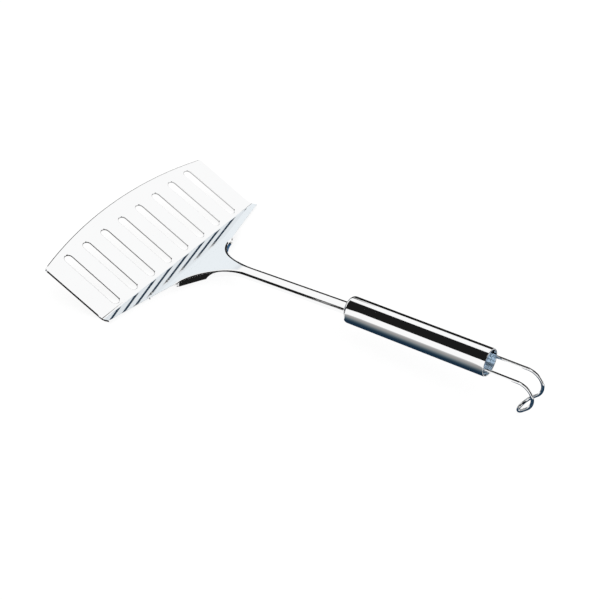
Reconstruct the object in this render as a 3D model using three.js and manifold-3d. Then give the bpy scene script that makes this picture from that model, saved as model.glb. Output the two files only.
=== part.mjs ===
// Kitchen spatula with a wide slotted blade, a flanged neck, a round tube handle and a wire hanging loop.
// Millimetres and degrees. While building, Y runs along the handle from the blade's bend,
// X is across the blade and Z is up.
import * as THREE from 'three';
import { mergeVertices } from 'three/addons/utils/BufferGeometryUtils.js';
import Module from 'manifold-3d';

const wasm = await Module();
wasm.setup();

// Sheet and blade
const sheet = 1.4;
const bladeWidth = 163;
const bladeFlare = 0.9;
const bladeSide = 53;
const frontBulge = 11.7;
const cornerRadius = 1.6;
const bladeTilt = 27.4;
const bendRadius = 5;

// Slots through the blade
const slotCount = 8;
const slotPitch = 18.1;
const slotWidth = 6.5;
const slotFrontMargin = 0.9;
const slotRearMargin = 2.4;

// Riser, shoulder and neck
const riserTilt = 13;
const shoulderHeight = 11.4;
const shoulderRadius = 100;
const wingTip = 6.3;
const wingHollow = 0.4;
const filletEnd = 62;
const filletEase = 0.4;
const neckTilt = 1.75;
const neckWidth = 9.3;

// Flange turned down along both edges of the shoulder and the neck
const flangeStartX = 28;
const flangeStartY = 22.4;
const flangeStartHeight = 4.1;
const flangeHeight = 3.7;
const flangeDroop = 3.1;
const flangeDroopRun = 5.6;
const flangeRiseRun = 20;

// Handle tube and what closes it
const tubeDiameter = 18.4;
const tubeWall = 0.9;
const tubeLength = 101;
const tubeStart = 143.8;
const axisHeight = 12.5;
const noseRadius = 2.4;
const noseOpening = 13;
const seatGap = 0.3;
const tangDepth = 20;
const capThickness = 4;
const plugThickness = 8;
const plugRecess = 3;

// Hanging loop
const wireDiameter = 2.2;
const legInside = 18;
const legOutside = 21.2;
const curlRadius = 10.5;
const curlAngle = 136;
const curlRun = 3.4;

// Fineness of the round shapes
const arcStep = 3;
const outlineSteps = 14;
const turnedSteps = 48;
const wireSides = 16;
const wireStep = 1.3;

// Sizes that follow from the ones above
const radians = THREE.MathUtils.degToRad;
const halfWidth = bladeWidth / 2;
const halfNeck = neckWidth / 2;
const tubeRadius = tubeDiameter / 2;
const bore = tubeRadius - tubeWall;
const wireRadius = wireDiameter / 2;
const legX = bore - wireRadius - seatGap;
const shoulderY = shoulderHeight / Math.tan(radians(riserTilt));
const tubeEnd = tubeStart + tubeLength;
const tangEnd = tubeStart + tangDepth;
const filletPull = filletEase * (filletEnd - flangeStartY);
const reach = 2 * bladeWidth;
const overlap = 2 * sheet;

const steel = new THREE.MeshStandardMaterial({ color: 0xd5d9de, roughness: 0.18, metalness: 1 });
const tubeSteel = new THREE.MeshStandardMaterial({ color: 0xc9ced6, roughness: 0.12, metalness: 1 });
const plugSteel = new THREE.MeshStandardMaterial({ color: 0x9fb0c0, roughness: 0.4, metalness: 1 });
const wireSteel = new THREE.MeshStandardMaterial({ color: 0xcdd3db, roughness: 0.15, metalness: 1 });

// A closed surface as a solid that can be joined and cut.
function solidOf(geometry) {
  geometry.deleteAttribute('normal');
  geometry.deleteAttribute('uv');
  const welded = mergeVertices(geometry);
  const vertProperties = new Float32Array(welded.attributes.position.array);
  const triVerts = new Uint32Array(welded.index.array);
  return new wasm.Manifold(new wasm.Mesh({ numProp: 3, vertProperties, triVerts }));
}

// A finished solid as a named mesh.
function meshOf(name, solid, material) {
  const made = solid.getMesh();
  const geometry = new THREE.BufferGeometry();
  geometry.setAttribute('position', new THREE.BufferAttribute(made.vertProperties, made.numProp));
  geometry.setIndex(new THREE.BufferAttribute(made.triVerts, 1));
  geometry.computeVertexNormals();
  const mesh = new THREE.Mesh(geometry, material);
  mesh.name = name;
  return mesh;
}

// A flat outline pushed along its normal from one level to another.
function prism(shape, from, to) {
  const geometry = new THREE.ExtrudeGeometry(shape, {
    depth: to - from,
    bevelEnabled: false,
    curveSegments: outlineSteps,
  });
  return geometry.translate(0, 0, from);
}

// A cross-section of points (x, z) pushed along the handle from one station to another.
function alongHandle(shape, from, to) {
  return solidOf(prism(shape, -to, -from).rotateX(Math.PI / 2));
}

// A profile of points [radius, y] turned round the handle axis.
function turned(profile) {
  const points = profile.map(([radius, y]) => new THREE.Vector2(radius, y));
  const geometry = new THREE.LatheGeometry(points, turnedSteps);
  return solidOf(geometry.translate(0, 0, axisHeight));
}

// The height of the neck's upper face at a station along the handle.
function neckTop(y) {
  return shoulderHeight + (y - shoulderY) * Math.tan(radians(neckTilt));
}

// The sheet's upper line seen from the side: straight runs joined by arcs, each point with its upward normal.
function upperLine() {
  const tilt = radians(bladeTilt);
  const front = new THREE.Vector2(-reach * Math.cos(tilt), reach * Math.sin(tilt));
  const bend = new THREE.Vector2(0, 0);
  const shoulder = new THREE.Vector2(shoulderY, shoulderHeight);
  const end = new THREE.Vector2(tangEnd, neckTop(tangEnd));
  const line = [{ point: front, angle: -tilt }];
  line.push(...arcAt(bend, -bladeTilt, riserTilt, bendRadius));
  line.push(...arcAt(shoulder, riserTilt, neckTilt, shoulderRadius));
  line.push({ point: end, angle: radians(neckTilt) });
  return line.map(({ point, angle }) => {
    const normal = new THREE.Vector2(-Math.sin(angle), Math.cos(angle));
    return { point, normal };
  });
}

// The arc that rounds a corner where the line's heading turns from one angle to another.
function arcAt(corner, headingIn, headingOut, radius) {
  const turn = headingOut - headingIn;
  const side = Math.sign(turn);
  const back = radius * Math.tan(radians(Math.abs(turn)) / 2);
  const start = radians(headingIn);
  const centreX = corner.x - back * Math.cos(start) - side * radius * Math.sin(start);
  const centreY = corner.y - back * Math.sin(start) + side * radius * Math.cos(start);
  const steps = Math.ceil(Math.abs(turn) / arcStep);
  return Array.from({ length: steps + 1 }, (_, i) => {
    const angle = radians(headingIn + (turn * i) / steps);
    const x = centreX + side * radius * Math.sin(angle);
    const y = centreY - side * radius * Math.cos(angle);
    return { point: new THREE.Vector2(x, y), angle };
  });
}

// An outline seen from the side, (y, z), pushed across the blade and past both of its edges.
function acrossBlade(points) {
  const turn = new THREE.Matrix4().makeBasis(
    new THREE.Vector3(0, 1, 0),
    new THREE.Vector3(0, 0, 1),
    new THREE.Vector3(1, 0, 0),
  );
  return solidOf(prism(new THREE.Shape(points), -bladeWidth, bladeWidth).applyMatrix4(turn));
}

// The bent strip under the upper line, one sheet thick and wider than the blade.
function strip() {
  const line = upperLine();
  const lower = line.map(({ point, normal }) => point.clone().addScaledVector(normal, -sheet));
  return acrossBlade([...lower, ...line.map(({ point }) => point).reverse()]);
}

// What the flange may fill, seen from the side: under the upper line, down to the flange's lower edge.
function flangeSide() {
  const upper = upperLine().map(({ point }) => point).filter(({ x, y }) => x > 0 && y > 0);
  const riserTop = flangeStartY * Math.tan(radians(riserTilt));
  const start = new THREE.Vector2(flangeStartY, riserTop - flangeStartHeight);
  const end = new THREE.Vector2(filletEnd, neckTop(filletEnd) - flangeHeight);
  const rise = filletEnd - flangeRiseRun;
  const lower = new THREE.CubicBezierCurve(
    start,
    new THREE.Vector2(start.x + flangeDroopRun, start.y - flangeDroop),
    new THREE.Vector2(rise, neckTop(rise) - flangeHeight),
    end,
  );
  const points = [
    new THREE.Vector2(upper[0].x, upper[0].y - flangeHeight),
    ...lower.getPoints(outlineSteps),
    new THREE.Vector2(tangEnd, neckTop(tangEnd) - flangeHeight),
    ...upper.reverse(),
  ];
  return acrossBlade(points);
}

// The blade's outline in its own plane: parallel sides and a front edge that is one shallow arc.
function bladeOutline() {
  const halfFront = halfWidth + bladeFlare;
  const radius = (halfFront ** 2 + frontBulge ** 2) / (2 * frontBulge);
  const centre = radius - bladeSide - frontBulge;
  const corner = Math.asin(halfFront / radius) - cornerRadius / radius;
  const down = -Math.PI / 2;
  const shape = new THREE.Shape();
  shape.moveTo(-halfWidth, overlap);
  shape.lineTo(-halfWidth, 0);
  shape.lineTo(-halfFront, cornerRadius - bladeSide);
  shape.quadraticCurveTo(
    -halfFront, -bladeSide,
    -radius * Math.sin(corner), centre - radius * Math.cos(corner),
  );
  shape.absarc(0, centre, radius, down - corner, down + corner, false);
  shape.quadraticCurveTo(halfFront, -bladeSide, halfFront, cornerRadius - bladeSide);
  shape.lineTo(halfWidth, 0);
  shape.lineTo(halfWidth, overlap);
  return shape;
}

// One slot with round ends, in the blade's plane.
function slotOutline(x) {
  const radius = slotWidth / 2;
  const shape = new THREE.Shape();
  shape.absarc(x, -slotRearMargin - radius, radius, 0, Math.PI, false);
  shape.absarc(x, slotFrontMargin + radius - bladeSide, radius, Math.PI, 2 * Math.PI, false);
  return shape;
}

// The concave edge from the wing to the neck, on the +X side.
function filletCurve() {
  const wing = new THREE.Vector2(flangeStartX - halfWidth, flangeStartY - wingTip).normalize();
  const start = new THREE.Vector2(flangeStartX, flangeStartY);
  const end = new THREE.Vector2(halfNeck, filletEnd);
  const leave = start.clone().addScaledVector(wing, filletPull);
  const arrive = new THREE.Vector2(halfNeck, filletEnd - filletPull);
  return new THREE.CubicBezierCurve(start, leave, arrive, end);
}

// The plan outline of the riser, its two wings and the neck.
function riserOutline() {
  const middleX = (halfWidth + flangeStartX) / 2;
  const middleY = (wingTip + flangeStartY) / 2 - 2 * wingHollow;
  const wing = new THREE.QuadraticBezierCurve(
    new THREE.Vector2(halfWidth, wingTip),
    new THREE.Vector2(middleX, middleY),
    new THREE.Vector2(flangeStartX, flangeStartY),
  );
  const right = [
    new THREE.Vector2(halfWidth, -overlap),
    ...wing.getPoints(outlineSteps),
    ...filletCurve().getPoints(2 * outlineSteps).slice(1),
    new THREE.Vector2(halfNeck, tangEnd),
  ];
  const left = right.map(({ x, y }) => new THREE.Vector2(-x, y)).reverse();
  return new THREE.Shape([...right, ...left]);
}

// The plan band that is turned down as a flange along one side, a sheet's thickness wide.
function flangeBand(side) {
  const curve = filletCurve();
  const outer = curve.getPoints(2 * outlineSteps);
  const inner = outer.map((point, i) => {
    const tangent = curve.getTangent(i / (2 * outlineSteps));
    return new THREE.Vector2(point.x - sheet * tangent.y, point.y + sheet * tangent.x);
  });
  outer.push(new THREE.Vector2(halfNeck, tangEnd));
  inner.push(new THREE.Vector2(halfNeck - sheet, tangEnd));
  const band = [...outer, ...inner.reverse()].map(({ x, y }) => new THREE.Vector2(side * x, y));
  return new THREE.Shape(band);
}

// The blade, its riser and its neck, pressed from one sheet.
function blade() {
  const above = neckTop(tangEnd) + overlap;
  const ahead = solidOf(prism(bladeOutline(), -overlap, overlap).rotateX(-radians(bladeTilt)));
  const behind = solidOf(prism(riserOutline(), -overlap, above));
  let solid = strip().intersect(ahead.add(behind));
  const folded = flangeSide();
  for (const side of [-1, 1]) {
    const band = solidOf(prism(flangeBand(side), -overlap, above));
    solid = solid.add(folded.intersect(band));
  }
  for (let i = 0; i < slotCount; i += 1) {
    const x = (i - (slotCount - 1) / 2) * slotPitch;
    const slot = prism(slotOutline(x), -overlap, overlap).rotateX(-radians(bladeTilt));
    solid = solid.subtract(solidOf(slot));
  }
  return solid;
}

// The handle's tube: drawn in at the neck to a rounded nose with a round opening, and open at the rear.
function handleTube() {
  const nose = tubeStart + noseRadius;
  const quarter = (radius) => Array.from({ length: outlineSteps / 2 + 1 }, (_, i) => {
    const angle = (Math.PI * i) / outlineSteps;
    const inset = noseRadius - radius * Math.sin(angle);
    return [tubeRadius - inset, nose - radius * Math.cos(angle)];
  });
  const lip = [noseOpening / 2, tubeStart];
  const lipInside = [noseOpening / 2, tubeStart + tubeWall];
  const outside = [lip, ...quarter(noseRadius), [tubeRadius, tubeEnd]];
  const inside = [[bore, tubeEnd], ...quarter(noseRadius - tubeWall).reverse(), lipInside];
  return turned([...outside, ...inside, lip]);
}

// The disc in the tube's nose, slotted so that the neck passes through it.
function frontCap() {
  const radius = noseOpening / 2 - seatGap;
  const back = tubeStart + capThickness;
  const disc = turned([[0, tubeStart], [radius, tubeStart], [radius, back], [0, back]]);
  const top = neckTop((tubeStart + back) / 2);
  const outerX = halfNeck + seatGap;
  const innerX = halfNeck - sheet - seatGap;
  const above = top + seatGap;
  const under = top - sheet - seatGap;
  const below = top - flangeHeight - seatGap;
  const channel = new THREE.Shape([
    new THREE.Vector2(-outerX, below),
    new THREE.Vector2(-innerX, below),
    new THREE.Vector2(-innerX, under),
    new THREE.Vector2(innerX, under),
    new THREE.Vector2(innerX, below),
    new THREE.Vector2(outerX, below),
    new THREE.Vector2(outerX, above),
    new THREE.Vector2(-outerX, above),
  ]);
  return disc.subtract(alongHandle(channel, tubeStart - overlap, back + overlap));
}

// The disc set back inside the tube's rear end, notched for the two legs of the loop.
function rearPlug() {
  const radius = bore - seatGap;
  const back = tubeEnd - plugRecess;
  const front = back - plugThickness;
  let disc = turned([[0, front], [radius, front], [radius, back], [0, back]]);
  const notchRadius = wireRadius + seatGap;
  for (const side of [-1, 1]) {
    const start = (side * Math.PI) / 2;
    const notch = new THREE.Shape();
    notch.absarc(side * legX, axisHeight, notchRadius, start, start + Math.PI, false);
    notch.lineTo(side * tubeRadius, axisHeight - side * notchRadius);
    notch.lineTo(side * tubeRadius, axisHeight + side * notchRadius);
    disc = disc.subtract(alongHandle(notch, front - overlap, tubeEnd));
  }
  return disc;
}

// A circular arc in space: from centre + radius * towards, turning to the side of heading.
class SpaceArc extends THREE.Curve {
  constructor(centre, towards, heading, radius, angle) {
    super();
    Object.assign(this, { centre, towards, heading, radius, angle });
  }

  getPoint(t, target = new THREE.Vector3()) {
    const turn = this.angle * t;
    target.copy(this.centre);
    target.addScaledVector(this.towards, this.radius * Math.cos(turn));
    return target.addScaledVector(this.heading, this.radius * Math.sin(turn));
  }
}

// The loop's wire: out of the tube, curled down, round the end and back the same way on the other side.
function loopPath() {
  const curl = radians(curlAngle);
  const bendY = tubeEnd + legOutside;
  const along = new THREE.Vector3(0, 1, 0);
  const up = new THREE.Vector3(0, 0, 1);
  const leaving = new THREE.Vector3(0, Math.cos(curl), -Math.sin(curl));
  const outward = new THREE.Vector3(0, Math.sin(curl), Math.cos(curl));
  const path = new THREE.CurvePath();
  const ends = [1, -1].map((side) => {
    const centre = new THREE.Vector3(side * legX, bendY, axisHeight - curlRadius);
    const root = new THREE.Vector3(side * legX, tubeEnd - legInside, axisHeight);
    const bend = new THREE.Vector3(side * legX, bendY, axisHeight);
    const curled = centre.clone().addScaledVector(outward, curlRadius);
    const last = curled.clone().addScaledVector(leaving, curlRun);
    return { centre, root, bend, curled, last };
  });
  const [right, left] = ends;
  const middle = right.last.clone().setX(0);
  const across = new THREE.Vector3(1, 0, 0);
  path.add(new THREE.LineCurve3(right.root, right.bend));
  path.add(new SpaceArc(right.centre, up, along, curlRadius, curl));
  path.add(new THREE.LineCurve3(right.curled, right.last));
  path.add(new SpaceArc(middle, across, leaving, legX, Math.PI));
  path.add(new THREE.LineCurve3(left.last, left.curled));
  path.add(new SpaceArc(left.centre, outward, leaving.clone().negate(), curlRadius, curl));
  path.add(new THREE.LineCurve3(left.bend, left.root));
  return path;
}

// The hanging loop, one round wire.
function hangingLoop() {
  const round = Array.from({ length: wireSides }, (_, i) => {
    const angle = (2 * Math.PI * i) / wireSides;
    return new THREE.Vector2(wireRadius * Math.cos(angle), wireRadius * Math.sin(angle));
  });
  const path = loopPath();
  const steps = Math.round(path.getLength() / wireStep);
  return solidOf(new THREE.ExtrudeGeometry(new THREE.Shape(round), { steps, extrudePath: path }));
}

// The slope of the line that touches the bend and the loop's tip from below,
// where the spatula lies on a table.
function restSlope() {
  const curl = radians(curlAngle);
  const middle = radians((riserTilt - bladeTilt) / 2);
  const toCentre = bendRadius / Math.cos(radians((riserTilt + bladeTilt) / 2));
  const tipY = tubeEnd + legOutside + curlRadius * Math.sin(curl) + (curlRun + legX) * Math.cos(curl);
  const tipZ = axisHeight - curlRadius * (1 - Math.cos(curl)) - (curlRun + legX) * Math.sin(curl);
  const bend = new THREE.Vector2(-toCentre * Math.sin(middle), toCentre * Math.cos(middle));
  const span = new THREE.Vector2(tipY, tipZ).sub(bend);
  return span.angle() - Math.asin((wireRadius - bendRadius - sheet) / span.length());
}

const group = new THREE.Group();
group.name = 'kitchen_spatula';
group.add(meshOf('blade', blade(), steel));
group.add(meshOf('front_cap', frontCap(), plugSteel));
group.add(meshOf('handle_tube', handleTube(), tubeSteel));
group.add(meshOf('rear_plug', rearPlug(), plugSteel));
group.add(meshOf('hanging_loop', hangingLoop(), wireSteel));

// Lay it on its bend and its loop, with the origin under the middle of its box.
group.rotation.x = -restSlope();
group.updateMatrixWorld(true);
const box = new THREE.Box3().setFromObject(group, true);
group.position.set(-(box.min.x + box.max.x) / 2, -(box.min.y + box.max.y) / 2, -box.min.z);

export default group;
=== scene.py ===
# %% [markdown]
# # A slotted kitchen spatula in polished steel
# One sheet is pressed into blade, riser and neck. A round tube makes the handle,
# and a bent wire makes the loop.
# Each shape is a formula worked out with numpy, so every step can be read and changed on its own.
# We first load the measured model. Everything we add sits in the same place and at the same size.

# %% Load the frame
import bpy
import numpy as np
from mathutils import Matrix, Vector


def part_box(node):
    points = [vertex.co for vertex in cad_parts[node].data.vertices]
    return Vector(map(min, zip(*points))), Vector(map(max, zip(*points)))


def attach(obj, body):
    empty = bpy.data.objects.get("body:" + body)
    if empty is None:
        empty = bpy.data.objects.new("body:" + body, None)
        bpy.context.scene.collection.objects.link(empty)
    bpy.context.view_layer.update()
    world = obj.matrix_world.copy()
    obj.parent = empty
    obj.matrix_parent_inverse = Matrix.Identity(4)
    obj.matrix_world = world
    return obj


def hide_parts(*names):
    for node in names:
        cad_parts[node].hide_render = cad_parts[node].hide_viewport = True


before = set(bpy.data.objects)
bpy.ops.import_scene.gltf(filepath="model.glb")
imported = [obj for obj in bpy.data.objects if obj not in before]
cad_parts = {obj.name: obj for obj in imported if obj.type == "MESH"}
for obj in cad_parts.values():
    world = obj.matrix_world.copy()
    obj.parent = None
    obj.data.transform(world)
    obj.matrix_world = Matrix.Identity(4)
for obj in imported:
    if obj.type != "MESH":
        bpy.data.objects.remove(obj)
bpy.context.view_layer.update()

print("nodes:", sorted(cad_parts))

# %% [markdown]
# ## Sizes and place
# Sizes are in millimetres and follow the measured model. Only fine edges and roundings are added here.
# Each size is named where it is first needed, and these first ones decide how the spatula lies.
# Shapes are worked out with the handle level: x across the blade, y from the bend to the handle, z up.
# On a table it lies on its bend and its loop, so the whole thing is then tipped up by a small angle.

# %% Name the sizes
SHEET = 1.4  # thickness of the blade's steel
BLADE_TILT = np.radians(27.4)
RISER_TILT = np.radians(13)
BEND_RADIUS = 5.0
TUBE_RADIUS = 9.2
TUBE_WALL = 0.9
TUBE_START = 143.8
TUBE_END = 244.8
AXIS = 12.5  # height of the handle's axis
WIRE_RADIUS = 1.1
LEG_GAP = 0.3  # between the wire and the tube's bore
LEG_OUTSIDE = 21.2  # straight wire behind the tube
CURL_RADIUS = 10.5
CURL = np.radians(136)
CURL_RUN = 3.4  # straight wire between the curl and the round end
MM = 0.001

BORE = TUBE_RADIUS - TUBE_WALL
LEG_X = BORE - WIRE_RADIUS - LEG_GAP


def rest_slope():
    """Angle of the table line that touches the bend's round underside and the loop's round tip."""
    half_turn = (RISER_TILT + BLADE_TILT) / 2
    lean = (RISER_TILT - BLADE_TILT) / 2
    to_centre = BEND_RADIUS / np.cos(half_turn)
    bend = np.array([-to_centre * np.sin(lean), to_centre * np.cos(lean)])
    run = CURL_RUN + LEG_X
    tip_y = TUBE_END + LEG_OUTSIDE + CURL_RADIUS * np.sin(CURL) + run * np.cos(CURL)
    tip_z = AXIS - CURL_RADIUS * (1 - np.cos(CURL)) - run * np.sin(CURL)
    span = np.array([tip_y, tip_z]) - bend
    lift = np.arcsin((WIRE_RADIUS - BEND_RADIUS - SHEET) / np.hypot(*span))
    return np.arctan2(span[1], span[0]) - lift


TIP = -rest_slope()
TURN = np.array([
    [1, 0, 0],
    [0, np.cos(TIP), -np.sin(TIP)],
    [0, np.sin(TIP), np.cos(TIP)],
])
tube_low, tube_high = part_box("handle_tube")
tube_middle = (np.array(tube_low) + np.array(tube_high)) / 2
SHIFT = tube_middle - MM * TURN @ np.array([0, (TUBE_START + TUBE_END) / 2, AXIS])
print("tipped up by", round(float(np.degrees(TIP)), 2), "degrees; moved by", SHIFT.round(5))

# %% [markdown]
# ## Turning numbers into pieces
# A piece needs points, faces and normals. The normals come from the formula and not from the faces,
# so a polished surface mirrors its surroundings without ripples even where the mesh is coarse.

# %% Make a mesh piece
def piece(name, points, normals, faces, node):
    """Adds one closed mesh, points in mm with the handle level, and puts it where the CAD node is."""
    mesh = bpy.data.meshes.new(name)
    placed = points @ TURN.T * MM + SHIFT
    mesh.from_pydata(placed.tolist(), [], faces)
    mesh.polygons.foreach_set("use_smooth", np.ones(len(mesh.polygons), dtype=bool))
    turned = normals @ TURN.T
    turned /= np.linalg.norm(turned, axis=1, keepdims=True)
    mesh.normals_split_custom_set_from_vertices(turned.tolist())
    mesh.update()
    made = bpy.data.objects.new(name, mesh)
    bpy.context.scene.collection.objects.link(made)
    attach(made, "root")
    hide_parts(node)
    print(name, "points", len(points), "faces", len(faces))
    return made


def unit(vectors):
    """Vectors scaled to length one."""
    return vectors / np.linalg.norm(vectors, axis=-1, keepdims=True)


def grid_faces(index):
    """Four-cornered faces between neighbouring entries of a 2-D table of point numbers."""
    corners = [index[:-1, :-1], index[:-1, 1:], index[1:, 1:], index[1:, :-1]]
    return np.stack(corners, axis=-1).reshape(-1, 4)


print("faces between 3 rows of 4 points:", len(grid_faces(np.arange(12).reshape(3, 4))))

# %% [markdown]
# ## The sheet seen from the side
# Straight runs joined by arcs: the blade, a tight bend, the riser, a wide shoulder arc and the long neck.
# The line never turns back, so the sheet's upper face is simply a height for each y.

# %% The side line
SHOULDER_HEIGHT = 11.4
SHOULDER_RADIUS = 100.0
NECK_TILT = np.radians(1.75)
AHEAD = 100.0  # any distance past the front edge
BEYOND = 300.0  # any y past the end of the neck

SHOULDER_Y = SHOULDER_HEIGHT / np.tan(RISER_TILT)


def corner_arc(corner, heading_in, heading_out, radius, count):
    """Points of the arc that rounds a corner where the line's heading changes."""
    side = np.sign(heading_out - heading_in)
    back = radius * np.tan(abs(heading_out - heading_in) / 2)
    start = np.array(corner) - back * np.array([np.cos(heading_in), np.sin(heading_in)])
    centre = start + side * radius * np.array([-np.sin(heading_in), np.cos(heading_in)])
    heading = np.linspace(heading_in, heading_out, count)
    return centre + side * radius * np.stack([np.sin(heading), -np.cos(heading)], axis=1)


def neck_top(y):
    """Height of the neck's straight upper face."""
    return SHOULDER_HEIGHT + (y - SHOULDER_Y) * np.tan(NECK_TILT)


bend_arc = corner_arc((0, 0), -BLADE_TILT, RISER_TILT, BEND_RADIUS, count=25)
shoulder = (SHOULDER_Y, SHOULDER_HEIGHT)
shoulder_arc = corner_arc(shoulder, RISER_TILT, NECK_TILT, SHOULDER_RADIUS, count=49)
blade_front = AHEAD * np.array([[-np.cos(BLADE_TILT), np.sin(BLADE_TILT)]])
neck_far = np.array([[BEYOND, neck_top(BEYOND)]])
side_line = np.concatenate([blade_front, bend_arc, shoulder_arc, neck_far])


def top(y):
    """Height of the sheet's upper face at y."""
    return np.interp(y, side_line[:, 0], side_line[:, 1])


def slope(y):
    """Angle of the sheet's upper face at y: steady on the straight runs, turning evenly in the arcs."""
    stations = np.concatenate([bend_arc[:, 0], shoulder_arc[:, 0]])
    headings = np.concatenate([
        np.linspace(-BLADE_TILT, RISER_TILT, len(bend_arc)),
        np.linspace(RISER_TILT, NECK_TILT, len(shoulder_arc)),
    ])
    return np.interp(y, stations, headings)


print("bend starts at y and z", bend_arc[0].round(2))
print("shoulder runs from", shoulder_arc[0].round(2), "to", shoulder_arc[-1].round(2))

# %% [markdown]
# ## The edge seen from above
# Behind the bend the edge runs straight, turns round the wing's tip, follows the slightly hollow wing
# and then one smooth curve into the neck. Both sides are mirror images, so one side is enough.

# %% The plan edge
HALF_WIDTH = 81.5  # half the blade's width at the bend
HALF_NECK = 4.65
WING_TIP = 6.3  # y of the wing's tip
WING_HOLLOW = 0.4
WING_ROUND = 1.6
FLANGE_X = 28.0  # where the flange begins
FLANGE_Y = 22.4
FILLET_END = 62.0  # y where the curve reaches the neck
FILLET_EASE = 0.4
TANG_DEPTH = 20.0  # how far the neck goes into the tube
STEPS = 200
NECK_STEPS = 60

TANG_END = TUBE_START + TANG_DEPTH


def bezier(points, t):
    """Curve with three or four control points. A point's weight is its choose number, 1 2 1 or 1 3 3 1,
    times t to the power of the points before it, times 1 - t to the power of the points after it."""
    points = np.array(points, dtype=float)
    order = len(points) - 1
    choose = np.array([1, 2, 1]) if order == 2 else np.array([1, 3, 3, 1])
    powers = np.arange(order + 1)
    weights = choose * t[:, None] ** powers * (1 - t[:, None]) ** (order - powers)
    return weights @ points


def smooth_step(value):
    """0 below 0, 1 above 1, and an S-shaped rise between."""
    value = np.clip(value, 0, 1)
    return value * value * (3 - 2 * value)


steps = np.linspace(0, 1, STEPS)
tip = np.array([HALF_WIDTH, WING_TIP])
fold = np.array([FLANGE_X, FLANGE_Y])
hollow = (tip + fold) / 2 - np.array([0, 2 * WING_HOLLOW])
wing = bezier([tip, hollow, fold], steps)
pull = FILLET_EASE * (FILLET_END - FLANGE_Y)
fillet = bezier([
    fold,
    fold + pull * unit(fold - tip),
    (HALF_NECK, FILLET_END - pull),
    (HALF_NECK, FILLET_END),
], steps)

# The parts of the edge start a little apart, so that no two points fall together.
wing_heading = np.arctan2(*(hollow - tip)[::-1])
wing_tip = corner_arc(tip, np.pi / 2, wing_heading, WING_ROUND, count=40)
after_tip = wing[wing[:, 1] > wing_tip[-1, 1] + 0.02]
bend_y = np.linspace(bend_arc[0, 0], wing_tip[0, 1] - 0.05, STEPS)
bend_side = np.stack([np.full(STEPS, HALF_WIDTH), bend_y], axis=1)
neck_y = np.linspace(FILLET_END + 0.5, TANG_END, NECK_STEPS)
neck_side = np.stack([np.full(NECK_STEPS, HALF_NECK), neck_y], axis=1)
edge = np.concatenate([bend_side, wing_tip, after_tip, fillet[1:], neck_side])
run = np.concatenate([[0], np.cumsum(np.linalg.norm(np.diff(edge, axis=0), axis=1))])
heading = np.unwrap(np.arctan2(np.gradient(edge[:, 1], run), np.gradient(edge[:, 0], run)))
fold_run = run[len(bend_side) + len(wing_tip) + len(after_tip) - 1]
tip_run = run[len(bend_side) + len(wing_tip) // 2]
print("edge is", round(float(run[-1]), 1), "mm long")
print("the flange starts", round(float(fold_run), 1), "mm along it")

# %% [markdown]
# ## Riser, shoulder and neck
# Rows run across the sheet, one for each place along the edge. The middle of a row lies on the upper face.
# Its two ends are strips that lie flat along the wing. Past the fold they bend down to make the flange
# that stiffens the neck. Bending a strip of length L through an angle A makes an arc of radius L / A,
# and past the fold that arc is drawn out to a softer, elliptical rounding.
# Rows stand closer together where the edge turns and where the strips fold.

# %% Rows of the riser and the neck
FOLD_LEAD = 5.5  # the strips start to fold this much before the flange
FOLD_LENGTH = 6.5

row_run = np.concatenate([
    bend_arc[::2, 0] - bend_arc[0, 0],
    np.linspace(bend_arc[-1, 0] - bend_arc[0, 0] + 0.4, run[STEPS - 1], 8),
    np.linspace(run[STEPS], tip_run + 3, 14),
    np.linspace(tip_run + 3.5, fold_run - 8, 30),
    np.linspace(fold_run - 7.6, fold_run + 3, 34),
    np.linspace(fold_run + 3.6, run[-NECK_STEPS - 1], 60),
    np.linspace(run[-NECK_STEPS] + 2, run[-1], 16),
])
row_edge = np.stack([np.interp(row_run, run, edge[:, 0]), np.interp(row_run, run, edge[:, 1])], axis=1)
row_heading = np.interp(row_run, run, heading)
outward = np.stack([np.sin(row_heading), -np.cos(row_heading)], axis=1)
folded = smooth_step((row_run - (fold_run - FOLD_LEAD)) / FOLD_LENGTH)
print("rows:", len(row_run), "of which folded all the way:", int((folded == 1).sum()))

# %% [markdown]
# ## The flange's wall
# The flange's lower edge starts some way below the riser and dips. Then it rises until it runs at one
# distance below the neck's upper face. One curve with four control points has just that form.
# The wall fills the gap between the flange's rounding and that edge.

# %% Bend the strips down
STRIP = 1.1  # width of the strips along the wing
EDGE = 0.08  # rounding of the sheet's plain edges
FLANGE_START_HEIGHT = 4.1
FLANGE_HEIGHT = 3.7  # along the neck
FLANGE_ROUND = 0.9
FLANGE_EASE = 3.0  # how many times wider than high the rounding is
FLANGE_DROOP = 3.1
FLANGE_DROOP_RUN = 5.6
FLANGE_RISE_RUN = 20.0

lower_start = np.array([FLANGE_Y, FLANGE_Y * np.tan(RISER_TILT) - FLANGE_START_HEIGHT])
lower_rise = FILLET_END - FLANGE_RISE_RUN
lower_edge = bezier([
    lower_start,
    lower_start + np.array([FLANGE_DROOP_RUN, -FLANGE_DROOP]),
    (lower_rise, neck_top(lower_rise) - FLANGE_HEIGHT),
    (FILLET_END, neck_top(FILLET_END) - FLANGE_HEIGHT),
], steps)
lower_edge = np.concatenate([lower_edge, [[BEYOND, neck_top(BEYOND) - FLANGE_HEIGHT]]])
lower_z = np.interp(row_edge[:, 1], lower_edge[:, 0], lower_edge[:, 1])
wall = top(row_edge[:, 1]) - FLANGE_ROUND - EDGE - lower_z

turn = np.maximum(folded * np.pi / 2, 1e-4)
arc_length = STRIP * 0.5 * (1 - folded) + FLANGE_ROUND * np.pi / 2 * folded
wall_length = STRIP * 0.5 * (1 - folded) + wall * folded
widened = (1 + (FLANGE_EASE - 1) * folded)[:, None]
inset = (STRIP + EDGE) * (1 - folded) + FLANGE_EASE * FLANGE_ROUND * folded
inner = row_edge - outward * inset[:, None]

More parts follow.
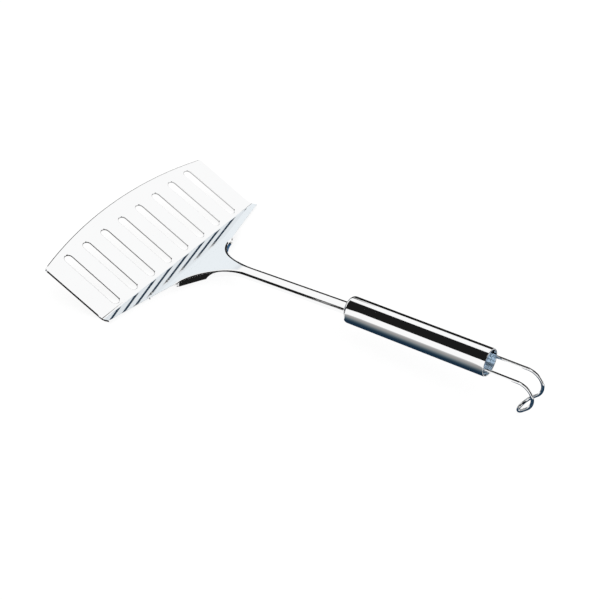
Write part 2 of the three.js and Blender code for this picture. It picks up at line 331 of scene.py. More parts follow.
along_arc = np.linspace(0, 1, 17)[1:]
along_wall = np.linspace(0, 1, 6)[1:]
angle = turn[:, None] * along_arc
radius = (arc_length / turn)[:, None]
wall_run = wall_length[:, None] * along_wall
reach = np.concatenate([
    radius * np.sin(angle) * widened,
    radius * np.sin(turn)[:, None] * widened + wall_run * np.cos(turn)[:, None],
], axis=1)
drop = np.concatenate([
    radius * (1 - np.cos(angle)),
    radius * (1 - np.cos(turn))[:, None] + wall_run * np.sin(turn)[:, None],
], axis=1)
print("flange wall", wall[-1].round(2), "mm at the neck")

# %% [markdown]
# ## Middle and strips together
# The middle's columns fan out evenly round the slots' rear ends. The plate takes over the points of the
# first row, so that plate and riser meet point for point and the polish shows no seam.

# %% Put the rows together
SLOTS = 8
PITCH = 18.1  # from one slot to the next
SLOT_RADIUS = 3.25
SLOT_REAR = 2.4  # from the slots' rear ends to the corner of the bend


def fan(number):
    """Places across one slot's cell, spaced so that they stand at even angles round the slot's rear end."""
    x = PITCH * (number - (SLOTS - 1) / 2)
    low = x - PITCH / 2 if number > 0 else -inner[0, 0]
    high = x + PITCH / 2 if number < SLOTS - 1 else inner[0, 0]
    depth = SLOT_REAR + SLOT_RADIUS - np.hypot(*bend_arc[0])
    angles = np.linspace(np.arctan2(depth, low - x), np.arctan2(depth, high - x), 15)
    return x + depth / np.tan(angles)


web_start = np.unique(np.concatenate([fan(number) for number in range(SLOTS)]).round(6))
across = web_start / inner[0, 0]
web_x = inner[:, :1] * across
web_y = np.broadcast_to(inner[:, 1:], web_x.shape)
strip_x = inner[:, :1] + outward[:, :1] * reach
strip_y = inner[:, 1:] + outward[:, 1:] * reach
strip_z = top(strip_y) - drop
left = np.stack([-strip_x, strip_y, strip_z], axis=-1)[:, ::-1]
web = np.stack([web_x, web_y, top(web_y)], axis=-1)
right = np.stack([strip_x, strip_y, strip_z], axis=-1)
riser = np.concatenate([left, web, right], axis=1)
riser_normals = unit(np.cross(np.gradient(riser, axis=1), np.gradient(riser, axis=0)))
row_slope = slope(inner[:, 1])
flat = slice(strip_x.shape[1], -strip_x.shape[1])
riser_normals[:, flat] = np.stack([0 * row_slope, -np.sin(row_slope), np.cos(row_slope)], axis=1)[:, None]
print("rows", riser.shape[0], "columns", riser.shape[1])

# %% [markdown]
# ## The slotted plate
# The plate is flat, so each slot needs only one ring of faces between its own rim and the border of its cell.
# Cells meet edge to edge, and the two outer cells reach to the blade's sides.

# %% Cells round the slots
FLARE = 0.9  # how much further out each side is at the front
SIDE = 53.0  # length of the blade's sides
BULGE = 11.7  # how far the front edge bows out
CORNER = 1.6  # rounding of the front corners
CORNER_LEAD = 0.3  # the corner's curve starts this much further back on the side
SLOT_FRONT = 0.9  # from the slots' front ends to a straight line between the front corners
GROUND_OUT = 0.65  # width of the bevel along the front edge
SIDE_OUT = 0.45  # width of the slanting cut along the sides
SIDE_FADE = 3.0  # that cut fades in over this length from the bend
SLOT_CUT = 0.3  # slanting cut round each slot
CLEARANCE = 0.08  # front edge, tube and wire stay this far inside the measured model

PLATE_REAR = -np.hypot(*bend_arc[0])


def front_line(x):
    """y of the front edge, one shallow arc, pulled in by the ground bevel's width and the clearance."""
    half = HALF_WIDTH + FLARE
    radius = (half ** 2 + BULGE ** 2) / (2 * BULGE)
    return radius - SIDE - BULGE - np.sqrt(radius ** 2 - np.asarray(x) ** 2) + GROUND_OUT + CLEARANCE


def side_x(y):
    """x of the blade's side, slightly wider at the front, pulled in by the width of the edge's cut."""
    cut = smooth_step((PLATE_REAR - np.asarray(y)) / SIDE_FADE)
    return HALF_WIDTH + FLARE * np.clip(-np.asarray(y) / SIDE, 0, 1) - EDGE - (SIDE_OUT - EDGE) * cut


def rounded_corner(side):
    """The blade's front corner as points from the side to the front edge."""
    y_side = front_line(HALF_WIDTH) + CORNER + CORNER_LEAD
    x_front = HALF_WIDTH + FLARE - CORNER - EDGE
    corner = (side_x(-SIDE), front_line(HALF_WIDTH + FLARE - EDGE))
    curve = bezier([(side_x(y_side), y_side), corner, (x_front, front_line(x_front))], np.linspace(0, 1, 9))
    return curve * np.array([side, 1])


def cell(number):
    """One slot's rim and the border round it, point for point. Each rim point lies straight between its
    border point and the nearest place on the slot's centre line. Its distance from that line is the slot's
    radius plus the width of the cut."""
    x = PITCH * (number - (SLOTS - 1) / 2)
    y_rear = -SLOT_REAR - SLOT_RADIUS
    y_front = SLOT_FRONT + SLOT_RADIUS - SIDE
    low = x - PITCH / 2 if number > 0 else -np.inf
    high = x + PITCH / 2 if number < SLOTS - 1 else np.inf
    rear_x = riser[0, :, 0]
    rear_x = rear_x[(rear_x >= low - 1e-4) & (rear_x <= high + 1e-4)]
    sides = []
    for side, limit in ((1, high), (-1, low)):
        outer = not np.isfinite(limit)
        corner = rounded_corner(side) if outer else np.array([[limit, front_line(limit)]])
        levels = np.concatenate([
            np.linspace(PLATE_REAR, y_rear, 5)[1:],
            np.linspace(y_front, corner[0, 1], 6)[:-1],
        ])
        column = side * side_x(levels) if outer else np.full(len(levels), limit)
        sides.append(np.concatenate([np.stack([column, levels], axis=1), corner]))
    inner_front = np.linspace(sides[1][-1, 0], sides[0][-1, 0], 15)[1:-1]
    front = np.stack([inner_front, front_line(inner_front)], axis=1)
    back = np.stack([rear_x, np.full(len(rear_x), PLATE_REAR)], axis=1)
    border = np.concatenate([back[::-1], sides[1], front, sides[0][::-1]])
    centre = np.stack([np.full(len(border), x), np.clip(border[:, 1], y_front, y_rear)], axis=1)
    return centre + (SLOT_RADIUS + SLOT_CUT) * unit(border - centre), border


def in_plate(points):
    """Points of the blade's own plane as points of the spatula."""
    x, y = points[:, 0], points[:, 1]
    return np.stack([x, y * np.cos(BLADE_TILT), -y * np.sin(BLADE_TILT)], axis=1)


plate_points, plate_faces, offset = [], [], 0
for number in range(SLOTS):
    rim, border = cell(number)
    count = len(rim)
    ring = np.arange(2 * count).reshape(2, count)
    ring = np.concatenate([ring, ring[:, :1]], axis=1)
    plate_points.append(in_plate(np.concatenate([rim, border])))
    plate_faces.append(grid_faces(ring)[:, ::-1] + offset)
    offset += 2 * count
plate_points = np.concatenate(plate_points)
plate_faces = np.concatenate(plate_faces)
print("plate points", len(plate_points), "faces", len(plate_faces))

# %% [markdown]
# ## One sheet with a thickness
# The patches are welded where they meet. Then the sheet gets its thickness: a copy lies below, along
# the normals, and a rim joins the two along every free edge. The rim is rounded on the riser and the neck,
# ground to a bevel along the front, and cut at a slant along the sides and inside each slot.

# %% Weld and thicken the sheet
GROUND_DOWN = 0.65
SIDE_DOWN = 1.15
FRONT_REACH = 1.2  # the bevel is gone this far from the front line
SIDE_REACH = 0.5  # points this close to the side belong to it


def weld(points, normals, faces):
    """Points on the same spot become one, so neighbouring patches share them."""
    kept, same = np.unique(points.round(4), axis=0, return_index=True, return_inverse=True)[1:]
    return points[kept], normals[kept], same.reshape(-1)[faces]


def rim_shares(points):
    """Shares of the four rims at each edge point: rounded, ground front, cut side and cut slot. The front
    fades out over the last millimetre of its reach, the side over its last stretch before the bend."""
    x = np.abs(points[:, 0])
    y = points[:, 1] / np.cos(BLADE_TILT)
    front = smooth_step(FRONT_REACH - np.abs(y - front_line(np.minimum(x, HALF_WIDTH))))
    outer = x > side_x(y) - SIDE_REACH
    side = (1 - front) * outer * smooth_step((PLATE_REAR - y) / SIDE_FADE)
    slot = (1 - front) * ~outer * (y < PLATE_REAR - 0.01)
    return np.stack([1 - front - side - slot, front, side, slot], axis=1)


def cut_rim(out, down):
    """A flat cut that goes out and down, then a wall to the lower face; rows as in the rounded rim."""
    share = np.array([0, 0.06, 0.5, 0.94, 1])
    lean = np.arctan2(down, out) * np.array([0, 1, 1, 1, 0]) + np.pi / 2 * np.array([0, 0, 0, 0, 1])
    return np.stack([
        np.concatenate([out * share, out * share[::-1]]),
        np.concatenate([down * share, np.array([SHEET - EDGE, SHEET, SHEET, SHEET, SHEET])]),
        np.concatenate([np.sin(lean), [1, 0, 0, 0, 0]]),
        np.concatenate([np.cos(lean), [0, -1, -1, -1, -1]]),
    ])


quarter = np.linspace(0, np.pi / 2, 5)
round_rim = np.stack([
    EDGE * np.concatenate([np.sin(quarter), np.cos(quarter)]),
    np.concatenate([EDGE * (1 - np.cos(quarter)), SHEET - EDGE * (1 - np.sin(quarter))]),
    np.concatenate([np.sin(quarter), np.cos(quarter)]),
    np.concatenate([np.cos(quarter), -np.sin(quarter)]),
])
rims = np.stack([
    round_rim,
    cut_rim(GROUND_OUT, GROUND_DOWN),
    cut_rim(SIDE_OUT, SIDE_DOWN),
    cut_rim(SLOT_CUT, SLOT_CUT),
])


def thicken(points, normals, faces):
    """A free edge belongs to one face only. From there the rim goes outwards and down to the lower face:
    a small quarter circle or a flat cut, then a straight wall."""
    count = len(points)
    start = faces.ravel()
    end = np.roll(faces, -1, axis=1).ravel()
    free = ~np.isin(start * count + end, end * count + start)
    start, end = start[free], end[free]
    place = np.zeros(count, dtype=int)
    place[start] = np.arange(len(start))
    ahead = unit(points[end] - points[start])
    behind = np.empty_like(ahead)
    behind[place[end]] = ahead
    up = normals[start]
    away = unit(np.cross(unit(ahead + behind), up))
    out, down, lean, lift = np.einsum("nk,krp->rpn", rim_shares(points[start]), rims)[..., None]
    rim = points[start] + out * away - down * up
    rim_normals = unit(lean * away + lift * up)
    inside = np.arange(rim[1:-1].size // 3).reshape(-1, len(start)) + 2 * count
    table = np.concatenate([start[None], inside, start[None] + count])
    there = place[end]
    rim_faces = np.stack([table[:-1], table[1:], table[1:][:, there], table[:-1][:, there]], axis=-1)
    all_points = np.concatenate([points, points - SHEET * normals, rim[1:-1].reshape(-1, 3)])
    all_normals = np.concatenate([normals, -normals, rim_normals[1:-1].reshape(-1, 3)])
    all_faces = np.concatenate([faces, faces[:, ::-1] + count, rim_faces.reshape(-1, 4)])
    return all_points, all_normals, all_faces


riser_index = np.arange(riser.shape[0] * riser.shape[1]).reshape(riser.shape[:2]) + len(plate_points)
plate_up = np.array([0, np.sin(BLADE_TILT), np.cos(BLADE_TILT)])
sheet_points = np.concatenate([plate_points, riser.reshape(-1, 3)])
sheet_normals = np.concatenate([np.tile(plate_up, (len(plate_points), 1)), riser_normals.reshape(-1, 3)])
sheet_faces = np.concatenate([plate_faces, grid_faces(riser_index)])
sheet = thicken(*weld(sheet_points, sheet_normals, sheet_faces))
blade = piece("spatula_blade", sheet[0], sheet[1], sheet[2].tolist(), "blade")

# %% [markdown]
# ## The handle tube
# A tube is a profile turned round an axis. Here the profile is a closed line of straight parts and arcs:
# round nose, long outside, thin rounded rear rim, bore, and the small lip round the opening of the nose.

# %% Turn the handle tube
NOSE_RADIUS = 2.4
NOSE_OPENING = 6.5  # radius of the opening in the nose
LIP_ROUND = 0.25
RIM_ROUND = 0.3
ARC_STEPS = 9
TUBE_SIDES = 128


def rounded_profile(corners, radii):
    """A closed line round the corners, each replaced by an arc. Normals point left of the way round."""
    corners = np.array(corners, dtype=float)
    points, normals = [], []
    for before, corner, after, radius in zip(np.roll(corners, 1, 0), corners, np.roll(corners, -1, 0), radii):
        enter = np.arctan2(*(corner - before)[::-1])
        leave = np.arctan2(*(after - corner)[::-1])
        leave = enter + (leave - enter + np.pi) % (2 * np.pi) - np.pi
        heading = np.linspace(enter, leave, ARC_STEPS)
        points.append(corner_arc(corner, enter, leave, radius, ARC_STEPS))
        normals.append(np.stack([-np.sin(heading), np.cos(heading)], axis=1))
    return np.concatenate(points), np.concatenate(normals)


def turned(profile, sides):
    """Turns rows of (along, out) round the handle's axis."""
    round_angle = np.linspace(0, 2 * np.pi, sides, endpoint=False)
    along, out = profile[:, :1], profile[:, 1:]
    along = np.broadcast_to(along, (len(profile), sides))
    return np.stack([out * np.sin(round_angle), along, out * np.cos(round_angle)], axis=-1)


outside = TUBE_RADIUS - CLEARANCE
tube_profile, tube_normals = rounded_profile(
    [
        (TUBE_START, NOSE_OPENING),
        (TUBE_START, outside),
        (TUBE_END, outside),
        (TUBE_END, BORE),
        (TUBE_START + TUBE_WALL, BORE),
        (TUBE_START + TUBE_WALL, NOSE_OPENING),
    ],
    [LIP_ROUND, NOSE_RADIUS, RIM_ROUND, RIM_ROUND, NOSE_RADIUS - TUBE_WALL, LIP_ROUND],
)
ring = np.arange(len(tube_profile) * TUBE_SIDES).reshape(-1, TUBE_SIDES)
ring = np.concatenate([ring, ring[:1]], axis=0)
ring = np.concatenate([ring, ring[:, :1]], axis=1)
tube_points = turned(tube_profile, TUBE_SIDES).reshape(-1, 3) + np.array([0, 0, AXIS])
tube_directions = turned(tube_normals, TUBE_SIDES).reshape(-1, 3)
tube_faces = grid_faces(ring).tolist()
tube = piece("handle_shell", tube_points, tube_directions, tube_faces, "handle_tube")

# %% [markdown]
# ## The hanging loop
# One round wire: two straight legs that start inside the handle, a curl downwards on each, a short run
# and a round end between them.
# A circle is carried along that path. At each point it stands square to the wire's direction.

# %% Sweep the wire
LEG_INSIDE = 18.0  # straight wire inside the tube
LEG_STEPS = 11
CURL_STEPS = 49
HALF_STEPS = LEG_STEPS + CURL_STEPS
END_STEPS = 41
WIRE_SIDES = 32

leg_end = TUBE_END + LEG_OUTSIDE
leg_y = np.linspace(TUBE_END - LEG_INSIDE, leg_end, LEG_STEPS + 1)[:-1]
fall = np.linspace(0, CURL, CURL_STEPS)
half_y = np.concatenate([leg_y, leg_end + CURL_RADIUS * np.sin(fall)])
half_z = np.concatenate([np.full(LEG_STEPS, AXIS), AXIS - CURL_RADIUS * (1 - np.cos(fall))])
half_fall = np.concatenate([np.zeros(LEG_STEPS), fall])
half_path = np.stack([np.full(HALF_STEPS, LEG_X), half_y, half_z], axis=1)
half_way = np.stack([np.zeros(HALF_STEPS), np.cos(half_fall), -np.sin(half_fall)], axis=1)
half_side = np.tile([1.0, 0.0, 0.0], (HALF_STEPS, 1))
onward = half_way[-1]
middle = half_path[-1] * np.array([0, 1, 1]) + CURL_RUN * onward
swing = np.linspace(0, np.pi, END_STEPS)[:, None]
end_side = np.cos(swing) * half_side[:1] + np.sin(swing) * onward
end_way = np.cos(swing) * onward - np.sin(swing) * half_side[:1]
mirror = np.array([-1, 1, 1])
path = np.concatenate([half_path, middle + LEG_X * end_side, half_path[::-1] * mirror])
way = np.concatenate([half_way, end_way, -half_way[::-1]])
side = np.concatenate([half_side, end_side, -half_side])

round_wire = np.linspace(0, 2 * np.pi, WIRE_SIDES, endpoint=False)[:, None]
directions = np.cos(round_wire) * side[:, None] + np.sin(round_wire) * np.cross(way, side)[:, None]
wire_points = (path[:, None] + (WIRE_RADIUS - CLEARANCE) * directions).reshape(-1, 3)
ring = np.arange(len(wire_points)).reshape(-1, WIRE_SIDES)
ring = np.concatenate([ring, ring[:, :1]], axis=1)
first_end, last_end = len(wire_points), len(wire_points) + 1
caps = [[first_end, b, a] for a, b in zip(ring[0, :-1].tolist(), ring[0, 1:].tolist())]
caps += [[last_end, a, b] for a, b in zip(ring[-1, :-1].tolist(), ring[-1, 1:].tolist())]
wire_points = np.concatenate([wire_points, path[:1], path[-1:]])
wire_normals = np.concatenate([directions.reshape(-1, 3), -way[:1], way[-1:]])
wire_faces = grid_faces(ring).tolist() + caps
loop = piece("loop_wire", wire_points, wire_normals, wire_faces, "hanging_loop")

# %% [markdown]
# ## Finishes
# Polished stainless steel is a mirror with a faint blue cast, so most of what we see is its surroundings.
# What makes it real is small: polishing lines too fine to count, and patches that are a little duller.
# Stretched noise gives the lines; wide, soft noise gives the patches.

# %% Steel finishes
def link(tree, source, out, target, into):
    """Joins two sockets by name or number."""
    tree.links.new(source.outputs[out], target.inputs[into])


def steel(name, light, dark, smoothest, dullest, grain, depth):
    """Steel: colour wanders between two shades, roughness between two values, and fine lines run along
    the direction in which grain, the number of lines per metre in x, y and z, is smallest."""
    finish = bpy.data.materials.new(name)
    finish.use_nodes = True
    tree = finish.node_tree
    shader = tree.nodes["Principled BSDF"]
    shader.inputs["Metallic"].default_value = 1.0
    place = tree.nodes.new("ShaderNodeTexCoord")
    stretch = tree.nodes.new("ShaderNodeMapping")
    stretch.inputs["Scale"].default_value = grain
    lines = tree.nodes.new("ShaderNodeTexNoise")
    lines.inputs["Scale"].default_value = 1.0
    lines.inputs["Detail"].default_value = 4.0
    patches = tree.nodes.new("ShaderNodeTexNoise")
    patches.inputs["Scale"].default_value = 45.0
    patches.inputs["Detail"].default_value = 3.0
    shades = tree.nodes.new("ShaderNodeMix")
    shades.data_type = "RGBA"
    shades.inputs["A"].default_value = (*dark, 1)
    shades.inputs["B"].default_value = (*light, 1)
    gloss = tree.nodes.new("ShaderNodeMapRange")
    gloss.inputs["To Min"].default_value = smoothest
    gloss.inputs["To Max"].default_value = dullest
    bump = tree.nodes.new("ShaderNodeBump")
    bump.inputs["Strength"].default_value = depth
    bump.inputs["Distance"].default_value = 0.00002
    link(tree, place, "Object", stretch, "Vector")
    link(tree, stretch, "Vector", lines, "Vector")
    link(tree, place, "Object", patches, "Vector")
    link(tree, patches, "Fac", shades, "Factor")
    link(tree, shades, "Result", shader, "Base Color")
    link(tree, patches, "Fac", gloss, "Value")
    link(tree, gloss, "Result", shader, "Roughness")
    link(tree, lines, "Fac", bump, "Height")
    link(tree, bump, "Normal", shader, "Normal")
    return finish


def dress(thing, finish):
    """Gives a piece one finish all over."""
    thing.data.materials.clear()
    thing.data.materials.append(finish)


LIGHT_STEEL = (0.905, 0.907, 0.909)
DARK_STEEL = (0.887, 0.890, 0.894)
# the end discs are satin steel; their blue is a painted reflection of blue surroundings
LIGHT_DISC_WITH_PAINTED_REFLECTION = (0.46, 0.66, 0.86)
DARK_DISC_WITH_PAINTED_REFLECTION = (0.40, 0.59, 0.78)
blade_finish = steel("polished_blade_steel", LIGHT_STEEL, DARK_STEEL,
                     smoothest=0.015, dullest=0.05, grain=(2500, 120, 2500), depth=0.02)
tube_finish = steel("polished_tube_steel", LIGHT_STEEL, DARK_STEEL,
                    smoothest=0.02, dullest=0.05, grain=(3000, 60, 3000), depth=0.03)
wire_finish = steel("polished_wire_steel", LIGHT_STEEL, DARK_STEEL,
                    smoothest=0.02, dullest=0.05, grain=(3000, 300, 3000), depth=0.02)
disc_finish_with_painted_reflection = steel("satin_disc_steel_painted_reflection", LIGHT_DISC_WITH_PAINTED_REFLECTION, DARK_DISC_WITH_PAINTED_REFLECTION,
                    smoothest=0.30, dullest=0.40, grain=(3000, 3000, 200), depth=0.15)
dress(blade, blade_finish)
dress(tube, tube_finish)
dress(loop, wire_finish)
for node in ("front_cap", "rear_plug"):
    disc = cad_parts[node]
    for number in range(len(disc.material_slots)):
        disc.material_slots[number].material = disc_finish_with_painted_reflection
print("finishes:", [finish.name for finish in (blade_finish, tube_finish, wire_finish, disc_finish_with_painted_reflection)])

# %% [markdown]
# ## The studio
# A mirror needs something to mirror. The room is white, and black and blue-grey cards stand where the
# dark stripes on the steel come from; some cards on the floor are painted shadow of the spatula. Cards show
# only in reflections; the camera sees a white floor.
# A card is one face with four corners, and these helpers write down the corners of the usual ones.

# %% Helpers for cards
def card(name, corners, shade):
    """A flat four-cornered sheet of the studio, corners in metres."""
    mesh = bpy.data.meshes.new(name)
    mesh.from_pydata(corners, [], [[0, 1, 2, 3]])
    made = bpy.data.objects.new(name, mesh)
    bpy.context.scene.collection.objects.link(made)
    mesh.materials.append(shade)
    return made


def only_mirrored(thing):
    """A card that shows in polished metal and nowhere else."""
    thing.visible_camera = False
    thing.visible_diffuse = False
    thing.visible_shadow = False
    thing.visible_transmission = False


def level(low, high, z):
    """Corners of a level rectangle."""
    return [(low[0], low[1], z), (high[0], low[1], z), (high[0], high[1], z), (low[0], high[1], z)]


def upright(x, across, heights):
    """Corners of a rectangle that stands at x and faces along it."""
    (start, end), (low, high) = across, heights
    return [(x, start, low), (x, end, low), (x, end, high), (x, start, high)]


def slanted(across, start, end, z):
    """Corners of a level sheet whose two sides stand at across, with start and end as their ranges in y."""
    left, right = across
    return [(left, start[0], z), (right, end[0], z), (right, end[1], z), (left, start[1], z)]


def outlined(outline, z):
    """Corners of a level sheet with any outline of four points."""
    return [(x, y, z) for x, y in outline]


def facing(y, across, heights):
    """Corners of a rectangle that stands at y and faces along it."""
    (start, end), (low, high) = across, heights
    return [(start, y, low), (end, y, low), (end, y, high), (start, y, high)]


print("corners of a level card:", level((0, 0), (2, 1), 0))

# %% [markdown]
# ## Shades of the cards
# A card shines with its own light, so its shade is the same wherever it stands. Some cards have one shade.
# Others blend from shade to shade along an axis, as the painted shadow of the handle on the floor does from
# navy to pale grey.

# %% Shades
def shining(name):
    """A material that is nothing but light, with its node tree and the light's own node."""
    shade = bpy.data.materials.new(name)
    shade.use_nodes = True
    tree = shade.node_tree
    tree.nodes.remove(tree.nodes["Principled BSDF"])
    glow = tree.nodes.new("ShaderNodeEmission")
    link(tree, glow, "Emission", tree.nodes["Material Output"], "Surface")
    return shade, tree, glow


def plain(name, colour):
    """A card's own light in one shade."""
    shade, _, glow = shining(name)
    glow.inputs["Color"].default_value = (*colour, 1)
    return shade


def blended(name, stops, axis="X"):
    """A card's own light: shades named at places along one axis, in metres, and blended between them."""
    shade, tree, glow = shining(name)
    place = tree.nodes.new("ShaderNodeTexCoord")
    split = tree.nodes.new("ShaderNodeSeparateXYZ")
    spread = tree.nodes.new("ShaderNodeMapRange")
    low, high = stops[0][0], stops[-1][0]
    spread.inputs["From Min"].default_value = low
    spread.inputs["From Max"].default_value = high
    ramp = tree.nodes.new("ShaderNodeValToRGB")
    while len(ramp.color_ramp.elements) < len(stops):
        ramp.color_ramp.elements.new(1.0)
    for element, (at, colour) in zip(ramp.color_ramp.elements, stops):
        element.position = (at - low) / (high - low)
        element.color = (*colour, 1)
    link(tree, place, "Object", split, "Vector")
    link(tree, split, axis, spread, "Value")
    link(tree, spread, "Result", ramp, "Fac")
    link(tree, ramp, "Color", glow, "Color")
    return shade


def grey(value):
    """A neutral shade."""
    return (value, value, value)


BLACK = grey(0.012)
# the navy is the painted shadow under the handle
SHADOW_NAVY = (0.010, 0.028, 0.055)
SLATE = (0.020, 0.050, 0.090)
DEEP_BLUE = (0.035, 0.110, 0.220)
PALE_BLUE = (0.900, 0.950, 0.985)
black_shade = plain("black_card", BLACK)
slate_shade = plain("slate_card", SLATE)
blue_shade = plain("blue_card", DEEP_BLUE)
sky_shade = blended("pale_blue_card", [
    (0.00, PALE_BLUE),
    (0.60, PALE_BLUE),
    (0.72, (0.800, 0.840, 0.875)),
    (0.80, grey(1.0)),
], "Z")
# painted shadow of the handle on the floor, seen only in the steel: navy under the handle, paling to grey
# away from it
painted_handle_shadow = blended("near_painted_shadow_card", [
    (-0.045, (0.10, 0.13, 0.15)),
    (-0.022, SHADOW_NAVY),
    (0.014, SHADOW_NAVY),
    (0.020, (0.018, 0.040, 0.067)),
    (0.028, (0.060, 0.090, 0.115)),
    (0.040, (0.165, 0.200, 0.220)),
    (0.056, grey(0.30)),
    (0.085, grey(0.35)),
    (0.196, grey(0.55)),
    (0.500, grey(0.85)),
])
# painted shadow under the blade on the floor, seen only in the steel: black on the near side, lighter grey
# towards the far side
painted_blade_shadow = blended("blade_painted_shadow_card", [
    (-0.10, grey(0.6)),
    (-0.045, grey(0.5)),
    (0.0, grey(0.3)),
    (0.05, grey(0.08)),
    (0.08, BLACK),
])
shades = (black_shade, slate_shade, blue_shade, sky_shade, painted_handle_shadow, painted_blade_shadow)
print("shades:", [shade.name for shade in shades])

# %% [markdown]
# ## Where the cards stand
# To place a card, follow the line of sight from the camera to the steel and on after the bounce.
# A small card close to one part does the work of a large one far away, and the other parts see less of it.
# Cards on the floor lie in thin layers just above it, so that a higher one covers a lower one.

# %% Cards
LOW_LAYER = 0.0001
MIDDLE_LAYER = 0.0002
TOP_LAYER = 0.0003

cards = [
    ("tube_top_card", level((-0.33, -0.50), (0.20, 0.25), 0.8), black_shade),
    ("tube_near_card", outlined([(0.012, -0.005), (0.0585, -0.005), (0.0515, 0.15), (0.012, 0.15)],
                                0.07), black_shade),
    ("neck_near_card", level((-0.012, -0.16), (0.12, -0.08), 0.2), black_shade),
    ("neck_top_card", slanted((-0.30, 0.75), (-0.52, -0.31), (-0.80, -0.50), 0.55), black_shade),
    ("loop_top_card", level((-0.03, 0.172), (0.10, 0.26), 0.12), black_shade),
    ("loop_rear_card", facing(0.26, (-0.03, 0.12), (0, 0.12)), black_shade),
    ("far_card", upright(-0.7, (-0.46, 0.02), (0, 0.28)), black_shade),
    ("far_neck_card", upright(-0.7, (-0.75, -0.36), (0, 0.46)), black_shade),
    ("far_floor_card", slanted((-0.70, -0.02), (-0.56, 0.02), (-0.045, 0.13), MIDDLE_LAYER), black_shade),
    ("wire_card", [(-0.045, 0.088, 0.16), (-0.13, 0.088, 0.075), (-0.13, 0.30, 0.075),
                   (-0.045, 0.30, 0.16)], black_shade),
    # painted shadow of the handle on the floor, seen only in the steel
    ("tube_painted_shadow_card", level((-0.015, 0.022), (0.030, 0.130), TOP_LAYER), painted_handle_shadow),
    ("loop_floor_card", level((-0.045, 0.146), (0.045, 0.215), TOP_LAYER), slate_shade),
    # painted shadow of the handle fading out across the near floor, seen only in the steel
    ("near_painted_shadow_card", slanted((0.03, 0.50), (0.02, 0.130), (-0.19, -0.05), TOP_LAYER), painted_handle_shadow),
    ("neck_floor_card", slanted((0.035, 0.60), (-0.045, 0.006), (-0.48, -0.38), LOW_LAYER), black_shade),
    ("neck_side_card", [(1.0, -0.47, 0), (1.0, -1.3, 0), (1.0, -1.5, 1.0), (1.0, -0.67, 1.0)], black_shade),
    ("flange_top_card", level((0.010, -0.086), (0.050, -0.045), 0.03), black_shade),
    ("flange_side_card", upright(0.050, (-0.084, -0.045), (0, 0.03)), black_shade),
    ("flange_rear_card", facing(-0.045, (0.024, 0.050), (0, 0.03)), black_shade),
    # painted shadow under the blade, seen only in the steel
    ("blade_painted_shadow_card", level((-0.10, -0.215), (0.30, -0.103), MIDDLE_LAYER), painted_blade_shadow),
    ("corner_floor_card", level((-0.30, -0.215), (-0.10, -0.165), MIDDLE_LAYER), black_shade),
    ("front_floor_card", level((-1.60, -0.80), (0.30, -0.215), MIDDLE_LAYER), black_shade),
    ("front_card", facing(-0.8, (-2.20, 0.50), (0, 0.18)), black_shade),
    ("flange_floor_card", outlined([(0.015, -0.09), (0.031, -0.09), (0.031, -0.0611), (0.0165, -0.0745)],
                                   MIDDLE_LAYER), black_shade),
    ("crescent_floor_card", level((-0.046, -0.105), (-0.0345, -0.062), MIDDLE_LAYER), black_shade),
    ("fillet_floor_card", level((-0.0345, -0.105), (-0.012, -0.066), MIDDLE_LAYER), blue_shade),
    ("side_card", facing(-0.9, (0.3, 1.0), (0, 0.45)), slate_shade),
    ("sky_card", facing(-1.1, (-1.30, -0.45), (0.0, 0.80)), sky_shade),
]
for name, corners, shade in cards:
    only_mirrored(card(name, corners, shade))
print("cards:", len(cards))

# %% [markdown]
# ## The floor
# The floor's own light makes it white, and a little paint on it still takes the shadow.
# In polished metal it shows as plain white.

# %% Floor
FLOOR_HALF = 6.0
FLOOR_HEIGHT = -0.0002

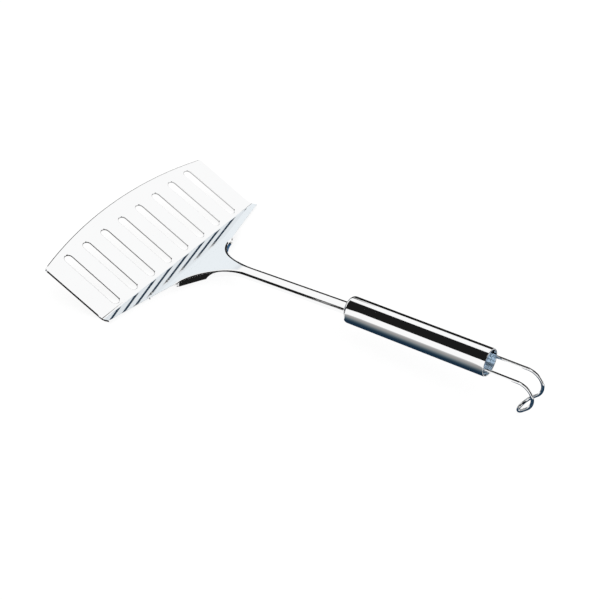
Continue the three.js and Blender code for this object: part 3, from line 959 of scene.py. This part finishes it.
floor_shade = bpy.data.materials.new("pale_floor")
floor_shade.use_nodes = True
tree = floor_shade.node_tree
tree.nodes.remove(tree.nodes["Principled BSDF"])
rays = tree.nodes.new("ShaderNodeLightPath")
paint = tree.nodes.new("ShaderNodeBsdfDiffuse")
paint.inputs["Color"].default_value = (0.16, 0.16, 0.16, 1)
base_glow = tree.nodes.new("ShaderNodeEmission")
base_glow.inputs["Strength"].default_value = 0.87
both = tree.nodes.new("ShaderNodeAddShader")
mirror_glow = tree.nodes.new("ShaderNodeEmission")
mirror_glow.inputs["Strength"].default_value = 1.05
choose = tree.nodes.new("ShaderNodeMixShader")
link(tree, paint, "BSDF", both, 0)
link(tree, base_glow, "Emission", both, 1)
link(tree, rays, "Is Glossy Ray", choose, "Fac")
link(tree, both, "Shader", choose, 1)
link(tree, mirror_glow, "Emission", choose, 2)
link(tree, choose, "Shader", tree.nodes["Material Output"], "Surface")
floor_corners = level((-FLOOR_HALF, -FLOOR_HALF), (FLOOR_HALF, FLOOR_HALF), FLOOR_HEIGHT)
card("floor", floor_corners, floor_shade)
print("floor corners:", floor_corners)

# %% [markdown]
# ## The light
# The white room lights everything evenly, and metal sees it a little brighter than plain white.
# A large lamp overhead adds a soft shadow. It doesn't show in the metal.

# %% World and lamp
scene = bpy.context.scene
world = bpy.data.worlds.new("white_room")
world.use_nodes = True
scene.world = world
tree = world.node_tree
rays = tree.nodes.new("ShaderNodeLightPath")
strength = tree.nodes.new("ShaderNodeMapRange")
strength.inputs["To Min"].default_value = 1.0
strength.inputs["To Max"].default_value = 1.06
link(tree, rays, "Is Glossy Ray", strength, "Value")
link(tree, strength, "Result", tree.nodes["Background"], "Strength")
tree.nodes["Background"].inputs["Color"].default_value = (1, 1, 1, 1)

lamp = bpy.data.lights.new("soft_lamp", "AREA")
lamp.shape = "RECTANGLE"
lamp.size = 1.2
lamp.size_y = 1.2
lamp.energy = 2.0
lamp_object = bpy.data.objects.new("soft_lamp", lamp)
lamp_object.location = (-0.3, 0.2, 1.4)
lamp_object.visible_glossy = False
scene.collection.objects.link(lamp_object)
print("lamp is", round(lamp.size, 2), "m wide, at", [round(value, 2) for value in lamp_object.location])

# %% [markdown]
# ## The camera
# The picture is taken from above and to the right of the handle, with a longish lens and a slight roll.

# %% Set up the camera
camera_data = bpy.data.cameras.new("photo_camera")
camera_data.lens = 66.98
camera_data.sensor_width = 36.0
camera = bpy.data.objects.new("photo_camera", camera_data)
eye = Vector((0.46130, 0.33512, 0.48085))
aim = Vector((-0.00952, -0.01197, 0))
level_view = (aim - eye).to_track_quat("-Z", "Y").to_matrix().to_4x4()
roll = Matrix.Rotation(np.radians(-1.574), 4, "Z")
camera.matrix_world = Matrix.Translation(eye) @ level_view @ roll
scene.collection.objects.link(camera)
scene.camera = camera
scene.view_settings.view_transform = "Standard"
print("camera", round((aim - eye).length, 3), "m from its aim")
